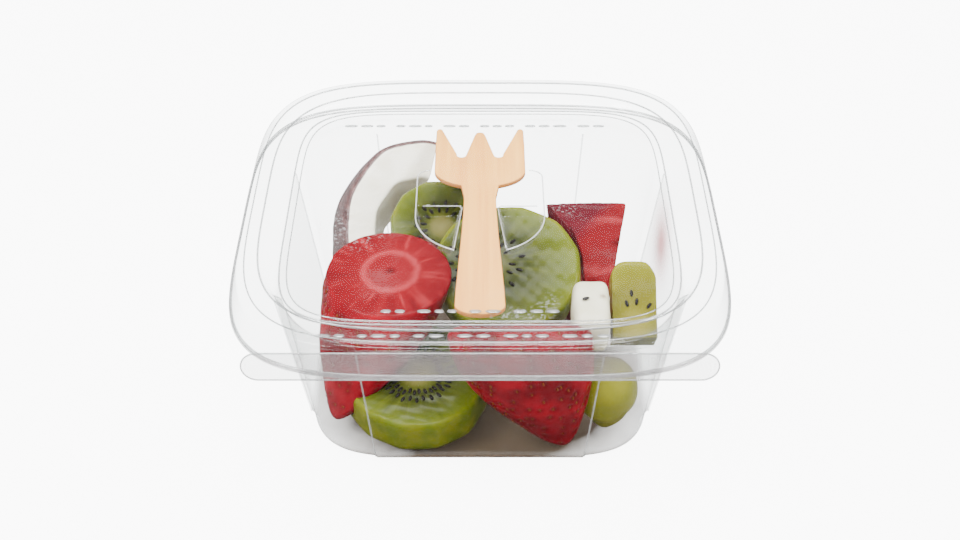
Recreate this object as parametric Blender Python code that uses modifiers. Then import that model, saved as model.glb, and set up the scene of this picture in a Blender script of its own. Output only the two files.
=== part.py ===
# A square clear plastic tub of cut fruit, shut with a lid that holds a wooden fork under its panel.
# Metres, +Z up, the table at z = 0, the front at -Y. The lengths below are in millimetres.
import math

import bmesh
import bpy
from mathutils import Matrix, Vector

mm = 0.001

# The plastic: every level ring is a superellipse, |x/a|^p + |y/b|^p = 1.
wall = 0.8
tubBottom = 50.8
tubTop = 59.6
tubHeight = 49.3
floorRadius = 2.0
tubPowerFoot, tubPowerTop = 5.2, 3.7
panelHalf = 30.5
panelHalfTop = 34.5
panelStep = 1.2
flangeA, flangeB = 72.6, 72.7
flangePower = 4.4
flangeDrop = 48.5

lidTop = 60.0
rimA, rimB = 70.2, 73.9
rimPower = 4.2
innerA, innerB = 64.2, 64.5
innerPower = 4.0
panelA, panelB = 57.0, 57.6
panelPower = 6.0
panelLevel = 56.0
skirtFoot = 49.7

wellTop = 2.0
wellOuter = 19.3
wellBend = -4.0
wellFront = -23.5
wellInnerBack, wellInnerFront = 5.6, 7.6
wellDepth = 3.0

stripHalf = 46.0
tabHalf = 64.0
stripFoot, stripHead = 49.2, 58.8
stripBack, stripThick = 73.1, 0.8
notchHalf, notchBack = 50.0, 66.3

forkThick = 1.5
forkLevel = 54.15
forkTip = 48.8
forkEnd = -51.5
headHalf, headLevel, headDeep = 14.4, 23.5, 9.5
neckHalf = 4.9
valleyX, valleyY = 5.9, 31.6

ringSteps = 5
sharpAngle = 30
gap = 0.3
berrySwell = 0.92

red = (0.62, 0.02, 0.02, 1)
green = (0.36, 0.46, 0.06, 1)
white = (0.85, 0.82, 0.74, 1)
clear = (0.85, 0.88, 0.88, 1)
wood = (0.78, 0.56, 0.34, 1)


def clearScene():
    for thing in list(bpy.data.objects):
        bpy.data.objects.remove(thing, do_unlink=True)


def collection(name, parent):
    made = bpy.data.collections.new(name)
    parent.children.link(made)
    return made


def material(name, colour, roughness):
    made = bpy.data.materials.new(name)
    made.use_nodes = True
    shader = made.node_tree.nodes["Principled BSDF"]
    shader.inputs["Base Color"].default_value = colour
    shader.inputs["Roughness"].default_value = roughness
    shader.inputs["Metallic"].default_value = 0.0
    return made


def finish(name, bm, where, look=None):
    """Turns a shape drawn in millimetres into an object in metres."""
    bmesh.ops.recalc_face_normals(bm, faces=bm.faces)
    if bm.calc_volume(signed=True) < 0:
        bmesh.ops.reverse_faces(bm, faces=bm.faces)
    mesh = bpy.data.meshes.new(name)
    bm.to_mesh(mesh)
    bm.free()
    mesh.transform(Matrix.Diagonal((mm, mm, mm, 1)))
    mesh.shade_smooth()
    mesh.set_sharp_from_angle(angle=math.radians(sharpAngle))
    made = bpy.data.objects.new(name, mesh)
    if look:
        mesh.materials.append(look)
    where.objects.link(made)
    return made


def superellipse(a, b, power, angle):
    """A point of the ring at a quarter-turn angle, spread evenly round the corner."""
    c, s = math.cos(angle), math.sin(angle)
    reach = (abs(c) ** power + abs(s) ** power) ** (-1 / power)
    return a * c * reach, b * s * reach


def mirroredRing(quarter):
    """Four quarters of a ring from one, given from the +X axis round to the +Y axis."""
    ring = [(x, y) for x, y in quarter]
    ring += [(-x, y) for x, y in reversed(quarter)]
    ring += [(-x, -y) for x, y in quarter]
    ring += [(x, -y) for x, y in reversed(quarter)]
    return ring


def plainRing(a, b, power):
    """The quarter's angles leave out the two axes, so that the mirrored halves don't share a point."""
    count = 2 * ringSteps + 2
    angles = [(i + 0.5) / count * math.pi / 2 for i in range(count)]
    return mirroredRing([superellipse(a, b, power, t) for t in angles])


def panelRing(half, height):
    """The tub's ring: a superellipse with a flat panel standing proud on each of its four sides."""
    flat, power = flatAt(height), powerAt(height)
    first = math.atan2(flat + panelStep, half)
    angles = [first + i / (2 * ringSteps - 1) * (math.pi / 2 - 2 * first) for i in range(2 * ringSteps)]
    corner = [superellipse(half, half, power, t) for t in angles]
    return mirroredRing([(half, flat), *corner, (flat, half)])


def loft(bm, rings):
    """Joins rings of one length, each a list of points and a height, and returns their vertices."""
    rows = [[bm.verts.new((x, y, z)) for x, y in ring] for ring, z in rings]
    for low, high in zip(rows, rows[1:]):
        for i in range(len(low)):
            j = (i + 1) % len(low)
            bm.faces.new((low[i], low[j], high[j], high[i]))
    return rows


def outlinePrism(outline, low, high):
    bm = bmesh.new()
    rows = loft(bm, [(outline, low), (outline, high)])
    bm.faces.new(rows[0])
    bm.faces.new(rows[1])
    return bm


def modify(thing, kind, name, **settings):
    made = thing.modifiers.new(name, kind)
    for key, value in settings.items():
        setattr(made, key, value)
    return made


def cut(thing, cutter, operation):
    modify(thing, "BOOLEAN", cutter.name, operation=operation, object=cutter, solver="EXACT")


def hide(cutter):
    cutter.hide_render = True
    cutter.display_type = "WIRE"


def halfAt(height):
    return tubBottom + (tubTop - tubBottom) * height / tubHeight


def flatAt(height):
    return panelHalf + (panelHalfTop - panelHalf) * height / tubHeight


def powerAt(height):
    """The corners are squarer at the floor than at the flange."""
    return tubPowerFoot + (tubPowerTop - tubPowerFoot) * math.sqrt(height / tubHeight)


def footLevels():
    """The height and the half width at each ring round the floor's rounded edge."""
    levels = []
    for turn in (0, 30, 60, 90):
        angle = math.radians(turn)
        height = floorRadius * (1 - math.cos(angle))
        levels.append((height, halfAt(height) - floorRadius * (1 - math.sin(angle))))
    return levels


def innerRing(half, height):
    """The outer ring drawn in by the wall, along its sides and at its panels' edges."""
    ring = []
    for x, y in panelRing(half, height):
        far = max(abs(x), abs(y))
        inset = (far - wall) / far
        ring.append((x * inset, y * inset))
    return ring


def makeTub(where, look):
    """Rings up the outside from the floor's edge, out and back over the flange, and down the inside.

    They are joined from the inside out.
    """
    flange = plainRing(flangeA, flangeB, flangePower)
    under, over = flangeDrop, flangeDrop + wall
    rings = [(panelRing(half, height), height) for height, half in footLevels()]
    middle = tubHeight / 2
    rings.append((panelRing(halfAt(middle), middle), middle))
    rings.append((panelRing(halfAt(under), under), under))
    rings += [(flange, under), (flange, over)]
    for height in (over, middle):
        rings.append((innerRing(halfAt(height), height), height))
    for height, half in reversed(footLevels()):
        rings.append((innerRing(half, height), height + wall))
    bm = bmesh.new()
    rows = loft(bm, reversed(rings))
    bm.faces.new(rows[0])
    bm.faces.new(rows[-1])
    return finish("tub", bm, where, look)


def makeLid(where, cutters, look):
    """The skirt's foot, up over the rim, down into the panel, and back along the underside."""
    rim = plainRing(rimA, rimB, rimPower)
    levels = [
        (plainRing(flangeA - 0.2, flangeB + 0.1, flangePower), skirtFoot),
        (rim, lidTop - 0.9),
        (plainRing(rimA - 0.9, rimB - 0.9, rimPower), lidTop),
        (plainRing(innerA, innerB, innerPower), lidTop),
        (plainRing(innerA - 1.6, innerB - 1.4, innerPower), lidTop - 1.4),
        (plainRing(panelA + 1.2, panelB + 1.2, panelPower), panelLevel + 0.5),
        (plainRing(panelA, panelB, panelPower), panelLevel),
    ]
    under = [
        (plainRing(panelA - 0.2, panelB - 0.2, panelPower), panelLevel - wall),
        (plainRing(panelA + 1.4, panelB + 1.4, panelPower), panelLevel - 0.3),
        (plainRing(innerA - 1.0, innerB - 0.8, innerPower), lidTop - 2.2),
        (plainRing(innerA + 0.3, innerB + 0.3, innerPower), lidTop - wall),
        (plainRing(rimA - 1.3, rimB - 1.3, rimPower), lidTop - wall),
        (plainRing(rimA - 0.8, rimB - 0.8, rimPower), lidTop - 1.4),
        (plainRing(flangeA - 1.0, flangeB - 0.7, flangePower), skirtFoot),
    ]
    bm = bmesh.new()
    rows = loft(bm, levels)
    top = rows[-1]
    backRows = loft(bm, under)
    bm.faces.new(top)
    bm.faces.new(backRows[0])
    foot, hem = rows[0], backRows[-1]
    for i in range(len(foot)):
        j = (i + 1) % len(foot)
        bm.faces.new((foot[j], foot[i], hem[i], hem[j]))
    lid = finish("lid", bm, where, look)
    deep, tall = 14, 20
    low = lidTop - wall - tall
    notch = box("notch", (0, -notchBack - deep / 2, low + tall / 2), (2 * notchHalf, deep, tall), cutters)
    lip = box("lip", (0, -rimB + 2.5, lidTop - wall / 2), (2 * stripHalf - 4, 5, wall), cutters)
    cut(lid, notch, "DIFFERENCE")
    cut(lid, lip, "UNION")
    for side, word in ((-1, "left"), (1, "right")):
        outline = wellOutline(side, 0)
        cup = outlinePrism(outline, panelLevel - wellDepth - wall, panelLevel - wall / 2)
        hollow = outlinePrism(wellOutline(side, wall), panelLevel - wellDepth, panelLevel + 1)
        cut(lid, finish("well_cup_" + word, cup, cutters), "UNION")
        cut(lid, finish("well_hollow_" + word, hollow, cutters), "DIFFERENCE")
    return lid


def box(name, centre, size, where):
    bm = bmesh.new()
    bmesh.ops.create_cube(bm, size=1)
    bmesh.ops.scale(bm, vec=size, verts=bm.verts)
    bmesh.ops.translate(bm, vec=centre, verts=bm.verts)
    return finish(name, bm, where)


def wellOutline(side, inset):
    """A straight outer side, an elliptic front, and an inner side that follows the fork's handle."""
    reach, drop = wellOuter - inset, wellBend - wellFront - inset
    inner = wellInnerFront + inset
    last = math.acos(inner / reach)
    points = [(wellInnerBack + inset, wellTop - inset), (reach, wellTop - inset)]
    for i in range(7):
        t = i / 6 * last
        points.append((reach * math.cos(t), wellBend - drop * math.sin(t)))
    return [(side * x, y) for x, y in points]


def makeStrip(where, look):
    """A flat upright strip with a round-ended tab at each end, drawn in its own plane and stood up."""
    low, high = stripFoot, stripHead
    radius = (high - low) / 2
    middle = (high + low) / 2
    right = []
    for i in range(9):
        t = -math.pi / 2 + i / 8 * math.pi
        right.append((tabHalf - radius + radius * math.cos(t), middle + radius * math.sin(t)))
    outline = right + [(-x, z) for x, z in reversed(right)]
    bm = outlinePrism(outline, -stripThick / 2, stripThick / 2)
    bmesh.ops.rotate(bm, matrix=Matrix.Rotation(math.pi / 2, 3, "X"), verts=bm.verts)
    bmesh.ops.translate(bm, vec=(0, -stripBack - stripThick / 2, 0), verts=bm.verts)
    return finish("tear_strip", bm, where, look)


def forkOutline():
    """Half the fork from the round end of its handle to the middle tine's tip, then mirrored."""
    half = []
    for i in range(1, 6):
        t = i / 5 * math.pi / 2
        half.append((7.35 * math.sin(t), forkEnd + 4.5 - 4.5 * math.cos(t)))
    half += [(6.3, -28), (neckHalf, 6)]
    last = math.acos(neckHalf / headHalf)
    for i in range(6):
        t = last * (1 - i / 5)
        half.append((headHalf * math.cos(t), headLevel - headDeep * math.sin(t)))
    half += [(headHalf, forkTip - 1.2), (headHalf - 1.2, forkTip), (headHalf - 3.2, forkTip)]
    for i in range(5):
        t = i / 4 * math.pi
        half.append((valleyX + 1.3 * math.cos(t), valleyY + 1.3 - 1.3 * math.sin(t)))
    half.append((1.7, forkTip - 3.0))
    whole = half + [(0, forkTip - 2.3)] + [(-x, y) for x, y in reversed(half)]
    return [(0, forkEnd), *whole]


def makeFork(where, look):
    low = forkLevel - forkThick / 2
    fork = finish("fork", outlinePrism(forkOutline(), low, low + forkThick), where, look)
    modify(fork, "BEVEL", "edge", width=0.25 * mm, segments=1, angle_limit=math.radians(60))
    return fork


def sliceBy(bm, point, normal):
    """Cuts away what lies on the normal's side of a plane and closes the cut."""
    every = bm.verts[:] + bm.edges[:] + bm.faces[:]
    bmesh.ops.bisect_plane(bm, geom=every, plane_co=point, plane_no=normal, clear_outer=True)
    bmesh.ops.holes_fill(bm, edges=[e for e in bm.edges if e.is_boundary], sides=0)


def turnTo(direction, spin=0):
    """The turn that takes +Z to a direction, after a spin about +Z."""
    turn = Vector((0, 0, 1)).rotation_difference(Vector(direction).normalized()).to_matrix()
    return turn @ Matrix.Rotation(math.radians(spin), 3, "Z")


def place(bm, turn, centre):
    bmesh.ops.rotate(bm, matrix=turn, verts=bm.verts)
    bmesh.ops.translate(bm, vec=centre, verts=bm.verts)


def berry(radius, length, squash):
    """A strawberry with its shoulder at the top and its tip at the bottom, middle at the origin."""
    bm = bmesh.new()
    bmesh.ops.create_uvsphere(bm, u_segments=22, v_segments=13, radius=1)
    for v in bm.verts:
        t = v.co.z
        swell = 0.86 + 0.30 * t - 0.16 * t * t
        wide = radius * swell / berrySwell
        v.co = Vector((v.co.x * wide, v.co.y * wide * squash, length / 2 * t))
    return bm


def makeBerry(name, where, look, tip, crown, size, cuts, spin=0):
    """A strawberry from its tip to its crown, cut by planes that stand in the tub's own frame."""
    radius, squash = size
    tip, crown = Vector(tip), Vector(crown)
    bm = berry(radius, (crown - tip).length, squash)
    place(bm, turnTo(crown - tip, spin), (tip + crown) / 2)
    for point, normal in cuts:
        sliceBy(bm, Vector(point), Vector(normal).normalized())
    return finish(name, bm, where, look)


def disc(radius, thick, squash):
    """A peeled kiwi slice: a drum whose side bulges, with its middle at the origin."""
    bm = bmesh.new()
    segments = 28
    levels = ((-0.5, -0.9), (-0.44, -0.25), (0, 0.6), (0.44, -0.25), (0.5, -0.9))
    angles = [2 * math.pi * i / segments for i in range(segments)]
    rings = []
    for height, grow in levels:
        r = radius + grow
        rings.append(([(r * math.cos(t), r * squash * math.sin(t)) for t in angles], height * thick))
    rows = loft(bm, rings)
    bm.faces.new(rows[0])
    bm.faces.new(rows[-1])
    return bm


def makeKiwi(name, where, look, centre, facing, size, cuts=()):
    """A slice whose face looks along facing, cut by planes given in the slice's own frame."""
    radius, thick, squash = size
    bm = disc(radius, thick, squash)
    for point, normal in cuts:
        sliceBy(bm, Vector(point), Vector(normal).normalized())
    place(bm, turnTo(facing), centre)
    return finish(name, bm, where, look)


def makeWedge(name, where, look, centre, facing, size, arc):
    """Part of a round shell: a sphere's band between two cuts, kept over an arc and thickened inwards."""
    radius, thick, wide, squash = size
    bm = bmesh.new()
    bmesh.ops.create_uvsphere(bm, u_segments=40, v_segments=20, radius=radius)
    cuts = [((0, 0, wide / 2), (0, 0, 1)), ((0, 0, -wide / 2), (0, 0, -1))]
    for turn, way in ((arc[0], -1), (arc[1], 1)):
        t = math.radians(turn)
        cuts.append(((0, 0, 0), (-way * math.sin(t), way * math.cos(t), 0)))
    for point, normal in cuts:
        every = bm.verts[:] + bm.edges[:] + bm.faces[:]
        bmesh.ops.bisect_plane(bm, geom=every, plane_co=point, plane_no=normal, clear_outer=True)
    bmesh.ops.scale(bm, vec=(squash, 1, 1), verts=bm.verts)
    bmesh.ops.recalc_face_normals(bm, faces=bm.faces)
    place(bm, turnTo(facing), centre)
    made = finish(name, bm, where, look)
    modify(made, "SOLIDIFY", "flesh", thickness=thick * mm, offset=-1, use_even_offset=False)
    return made


def makeBlock(name, where, look, centre, size, tilt):
    """A cut block, tilted about X, with its edges eased."""
    bm = bmesh.new()
    bmesh.ops.create_cube(bm, size=1)
    bmesh.ops.scale(bm, vec=size, verts=bm.verts)
    place(bm, Matrix.Rotation(math.radians(tilt), 3, "X"), centre)
    made = finish(name, bm, where, look)
    modify(made, "BEVEL", "edge", width=2.2 * mm, segments=3)
    return made


def pressInto(soft, firm, cutters):
    """Hollows a soft piece where its neighbour lies against it, with the gap between them."""
    graph = bpy.context.evaluated_depsgraph_get()
    mesh = bpy.data.meshes.new_from_object(firm.evaluated_get(graph))
    mesh.name = soft.name + "_by_" + firm.name
    normals = [v.normal.copy() for v in mesh.vertices]
    for vertex, normal in zip(mesh.vertices, normals):
        vertex.co += normal * gap * 1.5 * mm
    helper = bpy.data.objects.new(mesh.name, mesh)
    cutters.objects.link(helper)
    hide(helper)
    cut(soft, helper, "DIFFERENCE")


def fillTub(pack, cutters, strawberry, kiwi, coconut):
    """Each berry runs from its tip to its crown; each slice has a centre and the way that its face looks."""
    lid = ((0, 0, 48.5), (0, 0, 1))
    left = makeBerry("strawberry_left", pack, strawberry, (-43, -40, 7), (-18, 2, 61), (20.0, 0.76),
                     [((-27, -13, 42), (0, -0.1, 1))], -31)
    front = makeBerry("strawberry_front", pack, strawberry, (25.5, -45.7, 2.2), (3, -36.2, 60), (21.5, 0.68),
                      [((12, -45.0, 46), (0, 0.8, 0.6)), lid])
    back = makeBerry("strawberry_back", pack, strawberry, (0, 8, 24), (51, 2, 42), (21, 0.9),
                     [((39, -3, 38), (0.85, -0.45, 0.3)), ((0, 0, 49.5), (0, 0, 1)), ((0, 19, 0), (0, 1, 0.2))])
    bottom = makeKiwi("kiwi_front", pack, kiwi, (-19, -30.4, 11.9), (0, -0.2, 0.98), (21.5, 12, 0.95))
    middle = makeKiwi("kiwi_middle", pack, kiwi, (9, -4.5, 36), (0, -0.5, 0.87), (21.5, 10, 0.95))
    behind = makeKiwi("kiwi_back", pack, kiwi, (-12, 18.5, 35), (0, -0.64, 0.77), (16.5, 12, 0.95))
    makeKiwi("kiwi_right", pack, kiwi, (45.2, -27, 31), (0, -0.64, 0.77), (20, 11, 1),
             [((-6.4, 0, 0), (-1, 0, 0)), ((7, 0, 0), (1, 0, 0)), ((0, -4, 0), (0, -1, 0))])
    low = makeBerry("kiwi_low", pack, kiwi, (37.5, -37.5, 1.5), (37.5, -37.0, 27), (10, 1),
                    [((37, -32, 16), (-0.2, 1, 0))])
    shell = makeWedge("coconut_wedge", pack, coconut, (-24, 27.8, 26), (0.2, -0.64, 0.74), (32, 13, 16, 0.8),
                      (72, 212))
    chunk = makeBlock("coconut_chunk", pack, coconut, (32.3, -30.0, 38), (11.5, 19, 15), 12)
    above = makeKiwi("room_above_slice", cutters, None, (9, -14.5, 53.4), (0, -0.5, 0.87), (22.8, 50.8, 0.95))
    cut(back, above, "DIFFERENCE")
    for soft, firm in ((bottom, left), (middle, left), (front, chunk), (low, front), (shell, behind)):
        pressInto(soft, firm, cutters)


def main():
    clearScene()
    root = bpy.context.scene.collection
    pack = collection("fruit_tub", root)
    cutters = collection("cutters", root)
    plastic = material("clear_plastic", clear, 0.1)
    timber = material("birch", wood, 0.6)
    strawberry = material("strawberry", red, 0.4)
    kiwi = material("kiwi", green, 0.4)
    coconut = material("coconut", white, 0.6)
    makeTub(pack, plastic)
    makeLid(pack, cutters, plastic)
    makeStrip(pack, plastic)
    makeFork(pack, timber)
    fillTub(pack, cutters, strawberry, kiwi, coconut)
    for helper in cutters.objects:
        hide(helper)


main()
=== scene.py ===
import math

import bpy
import numpy as np
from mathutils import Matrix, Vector


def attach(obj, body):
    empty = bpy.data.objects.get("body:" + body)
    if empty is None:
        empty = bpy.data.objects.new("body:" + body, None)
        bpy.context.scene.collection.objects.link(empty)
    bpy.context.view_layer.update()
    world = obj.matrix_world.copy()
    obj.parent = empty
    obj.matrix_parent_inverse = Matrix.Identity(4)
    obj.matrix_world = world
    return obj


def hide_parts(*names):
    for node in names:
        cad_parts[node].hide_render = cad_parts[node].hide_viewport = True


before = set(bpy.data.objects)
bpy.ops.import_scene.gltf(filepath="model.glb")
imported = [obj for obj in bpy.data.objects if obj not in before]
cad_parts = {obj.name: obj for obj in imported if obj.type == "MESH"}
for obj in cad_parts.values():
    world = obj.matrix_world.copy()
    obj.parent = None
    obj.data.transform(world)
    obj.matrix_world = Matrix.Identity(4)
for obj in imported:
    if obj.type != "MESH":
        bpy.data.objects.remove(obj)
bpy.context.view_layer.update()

# A shut clear tub of cut fruit with a wooden fork under its lid. Lengths are in millimetres
# until a mesh is written, +Z is up and the front is at -Y.

rng = np.random.default_rng(7)
up = np.array([0.0, 0.0, 1.0])


# A value or colour socket that takes part in Python expressions.
class Wire:
    def __init__(self, look, socket):
        self.look, self.socket = look, socket

    def calc(self, operation, *others, clamp=False):
        return self.look.add("Math", {"operation": operation, "use_clamp": clamp}, (self, *others))

    def __add__(self, other):
        return self.calc("ADD", other)

    def __radd__(self, other):
        return self.calc("ADD", other)

    def __sub__(self, other):
        return self.calc("SUBTRACT", other)

    def __rsub__(self, other):
        return self.look.add("Math", {"operation": "SUBTRACT"}, (other, self))

    def __mul__(self, other):
        return self.calc("MULTIPLY", other)

    def __rmul__(self, other):
        return self.calc("MULTIPLY", other)

    def __pow__(self, other):
        return self.calc("POWER", other)

    # 0 at low and 1 at high, smooth between; low may be the larger of the two
    def step(self, low, high):
        return self.look.add("MapRange", {"interpolation_type": "SMOOTHSTEP"},
                             {"Value": self, "From Min": low, "From Max": high}, "Result")

    # kept between 0 and 1
    def held(self):
        return self.calc("ADD", 0.0, clamp=True)


# A material under construction: one method adds any node.
class Look:
    def __init__(self, name):
        self.material = bpy.data.materials.new(name)
        self.material.use_nodes = True
        self.tree = self.material.node_tree
        self.tree.nodes.clear()
        self.objectPoint = self.add("TexCoord", {}, {}, "Object")

    def add(self, kind, settings, values, out=0):
        node = self.tree.nodes.new("ShaderNode" + kind)
        for key, value in settings.items():
            if key == "stops":
                self.setStops(node.color_ramp, value)
            else:
                setattr(node, key, value)
        pairs = values.items() if isinstance(values, dict) else enumerate(values)
        for key, value in pairs:
            self.plug(node.inputs[key], value)
        return Wire(self, node.outputs[out]) if node.outputs else None

    def plug(self, socket, value):
        if isinstance(value, Wire):
            self.tree.links.new(value.socket, socket)
        elif isinstance(value, (tuple, list)) and socket.type == "RGBA" and len(value) == 3:
            socket.default_value = (*value, 1)
        else:
            socket.default_value = value

    def setStops(self, ramp, stops):
        while len(ramp.elements) < len(stops):
            ramp.elements.new(0.5)
        for element, (place, colour) in zip(ramp.elements, stops):
            element.position = place
            element.color = (*colour, 1)

    def ramp(self, fac, stops):
        return self.add("ValToRGB", {"stops": stops}, {"Fac": fac}, "Color")

    def mix(self, fac, a, b):
        node = self.tree.nodes.new("ShaderNodeMix")
        node.data_type = "RGBA"
        for key, value in (("Factor", fac), ("A", a), ("B", b)):
            socket = next(s for s in node.inputs if s.name == key and s.enabled)
            self.plug(socket, value)
        return Wire(self, next(s for s in node.outputs if s.enabled))

    def value(self, name):
        return self.add("Attribute", {"attribute_name": name}, {}, "Fac")

    def vector(self, name):
        return self.add("Attribute", {"attribute_name": name}, {}, "Vector")

    def noise(self, vector, scale, detail=3.0, rough=0.55):
        values = {"Vector": vector, "Scale": scale, "Detail": detail, "Roughness": rough}
        return self.add("TexNoise", {}, values, "Fac")

    def cells(self, vector, scale):
        return self.add("TexVoronoi", {}, {"Vector": vector, "Scale": scale}, "Distance")

    def stretch(self, vector, scale):
        return self.add("Mapping", {}, {"Vector": vector, "Scale": scale}, "Vector")

    def bump(self, height, strength, distance):
        return self.add("Bump", {}, {"Height": height, "Strength": strength, "Distance": distance}, "Normal")

    def principled(self, **sockets):
        values = {key.replace("_", " "): value for key, value in sockets.items()}
        return self.add("BsdfPrincipled", {}, values, "BSDF")

    def blend(self, fac, first, second):
        return self.add("MixShader", {}, (fac, first, second))

    def done(self, shader):
        self.add("OutputMaterial", {}, {"Surface": shader})
        return self.material


# Writes points in millimetres and faces into an object that replaces the named CAD nodes.
def addPiece(name, points, faces, look, nodes, values=None):
    mesh = bpy.data.meshes.new(name)
    mesh.from_pydata((np.asarray(points) * 0.001).tolist(), [], faces)
    for key, data in (values or {}).items():
        data = np.asarray(data, np.float32)
        kind, field = ("FLOAT", "value") if data.ndim == 1 else ("FLOAT_VECTOR", "vector")
        mesh.attributes.new(key, kind, "POINT").data.foreach_set(field, data.ravel())
    mesh.shade_smooth()
    mesh.materials.append(look)
    mesh.update()
    piece = bpy.data.objects.new(name, mesh)
    bpy.context.scene.collection.objects.link(piece)
    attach(piece, "root")
    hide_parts(*nodes)
    print("piece", name, len(mesh.polygons), "faces")
    return piece


# Quads between neighbouring rows and columns; wrapped columns close on themselves.
def gridFaces(rows, cols, wrap=True):
    r = np.arange(rows - 1)[:, None] * cols
    c = np.arange(cols if wrap else cols - 1)[None, :]
    d = (c + 1) % cols
    return np.stack([r + c, r + d, r + d + cols, r + c + cols], -1).reshape(-1, 4).tolist()


# A grid whose first and last rows each close on one extra point.
def closedFaces(rows, cols):
    faces = gridFaces(rows, cols)
    low, high = rows * cols, rows * cols + 1
    last = (rows - 1) * cols
    for c in range(cols):
        d = (c + 1) % cols
        faces.append((low, d, c))
        faces.append((high, last + c, last + d))
    return faces


# Joins several shapes of (points, faces, values) into one.
def joined(shapes):
    points, faces, values, first = [], [], {}, 0
    for shape in shapes:
        points.append(shape[0])
        faces += [tuple(i + first for i in face) for face in shape[1]]
        first += len(shape[0])
        for key, data in shape[2].items():
            values.setdefault(key, []).append(data)
    return np.concatenate(points), faces, {key: np.concatenate(data) for key, data in values.items()}


# Turns faces so that the whole shape's volume is positive.
def outward(points, faces):
    triangles = np.array([(f[0], f[i], f[i + 1]) for f in faces for i in range(1, len(f) - 1)])
    a, b, c = (points[triangles[:, i]] for i in range(3))
    if np.einsum("ij,ij->i", a, np.cross(b, c)).sum() < 0:
        return [tuple(reversed(f)) for f in faces]
    return faces


# The turn that takes +Z to a direction after a spin about +Z, as a 3 x 3 array.
def turnTo(direction, spin=0.0):
    turn = Vector((0, 0, 1)).rotation_difference(Vector(direction).normalized()).to_matrix()
    s, c = math.sin(math.radians(spin)), math.cos(math.radians(spin))
    return np.array(turn) @ np.array([[c, -s, 0], [s, c, 0], [0, 0, 1]])


# Each row divided by its length.
def unit(rows):
    return rows / np.linalg.norm(rows, axis=1)[:, None]


# A power that keeps the sign, for the squared-off circle (cos^p, sin^p).
def signedPower(value, power):
    return np.sign(value) * np.abs(value) ** power


# 0 to 1 with level ends: t * t * (3 - 2 t).
def eased(value):
    t = np.clip(value, 0, 1)
    return t * t * (3 - 2 * t)


# The larger of two distances, rounded over a width where they meet.
def roundMax(a, b, width):
    h = np.clip(0.5 + 0.5 * (a - b) / width, 0, 1)
    return b + (a - b) * h + width * h * (1 - h)


# Directions over a ball: (sin u cos v, sin u sin v, cos u) for rows of u and columns of v, then both poles.
def ballWays(rows, cols):
    lat = np.pi * (np.arange(rows) + 1) / (rows + 1)
    lon = 2 * np.pi * np.arange(cols) / cols
    grid = np.stack([np.sin(lat)[:, None] * np.cos(lon), np.sin(lat)[:, None] * np.sin(lon),
                     np.cos(lat)[:, None] * np.ones(cols)], -1).reshape(-1, 3)
    return np.concatenate([grid, [[0, 0, 1], [0, 0, -1]]])


# Rays from a centre in every direction, each followed by halving to where the rule turns positive.
def rayShape(centre, axis, rule, rows, cols, reach):
    way = ballWays(rows, cols) @ turnTo(axis).T
    low, high = np.zeros(len(way)), np.full(len(way), float(reach))
    for _ in range(26):
        middle = (low + high) / 2
        inside = rule(centre + way * middle[:, None]) < 0
        low, high = np.where(inside, middle, low), np.where(inside, high, middle)
    points = centre + way * low[:, None]
    return points, way, outward(points, closedFaces(rows, cols))


# Six sine waves of several lengths and directions, averaged; the same on every run.
def wobble(points, length, seed):
    source = np.random.default_rng(seed)
    total = np.zeros(len(points))
    for _ in range(6):
        way = source.normal(size=3)
        way *= 2 * np.pi / (length * source.uniform(0.6, 1.6)) / np.linalg.norm(way)
        total += np.sin(points @ way + source.uniform(0, 6.28))
    return total / 6


# Points spread over a level row, (x, y) at one height, for each row.
def rowPoints(rows):
    return np.array([np.column_stack([xy, np.full(len(xy), z)]) for xy, z in rows]).reshape(-1, 3)


# A tube: at every point of a path, a circle spanned by two directions. A loop closes on itself,
# an open tube on a point at each end.
def tube(path, across, aside, radius, loop):
    sides = 8
    turns = 2 * np.pi * np.arange(sides) / sides
    circle = np.cos(turns)[None, :, None] * across[:, None] + np.sin(turns)[None, :, None] * aside
    points = (path[:, None] + radius * circle).reshape(-1, 3)
    if loop:
        faces = [tuple(i % len(points) for i in face) for face in gridFaces(len(path) + 1, sides)]
    else:
        points = np.concatenate([points, [path[0], path[-1]]])
        faces = closedFaces(len(path), sides)
    return points, outward(points, faces), {}


# A tube round a loop that lies in the plane across an axis.
def loopTube(path, radius, axis=up):
    ahead = unit(np.roll(path, -1, 0) - np.roll(path, 1, 0))
    return tube(path, unit(np.cross(ahead, axis)), axis, radius, True)


# A tube along an open level path of (x, y) at height z.
def levelTube(path, radius, z):
    line = np.column_stack([path, np.full(len(path), z)])
    return tube(line, np.cross(unit(np.gradient(line, axis=0)), up), up, radius, False)


# A tube along a steep straight path, its circles level.
def steepTube(path, radius):
    return tube(path, np.tile([1.0, 0.0, 0.0], (len(path), 1)), np.array([0.0, 1.0, 0.0]), radius, False)


clearFinishes = {
    "panel": {"veil": 0.004, "mirror": 0.012, "rough": 0.05, "patches": 0.03, "passing": 0.85, "drops": 0.55},
    "wall": {"veil": 0.0, "mirror": 0.006, "rough": 0.05, "patches": 0.006, "passing": 0.81},
    "rim": {"veil": 0.008, "mirror": 0.02, "rough": 0.10, "patches": 0.015, "passing": 0.90},
    "edge": {"veil": 0.3, "mirror": 0.12, "rough": 0.10, "passing": 0.7, "tint": (0.36, 0.37, 0.37)},
    # the pale tint of the "line" finish is painted highlight on the raised lines
    "line": {"veil": 0.3, "mirror": 0.12, "rough": 0.12, "tint": (0.7, 0.72, 0.72)},
    "band": {"veil": 0.055, "mirror": 0.02, "rough": 0.08, "patches": 0.03, "passing": 0.84,
             "tint": (0.92, 0.80, 0.80)},
    "rib": {"veil": 0.12, "mirror": 0.05, "rough": 0.1, "tint": (0.6, 0.6, 0.6)},
}
# the "juice" colour is partly juice and partly painted shade of the fruit on the floor
clearColours = {"mirror": (0.93, 0.95, 0.95), "juice": (0.12, 0.085, 0.055), "blush": (0.80, 0.13, 0.13)}
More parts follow.
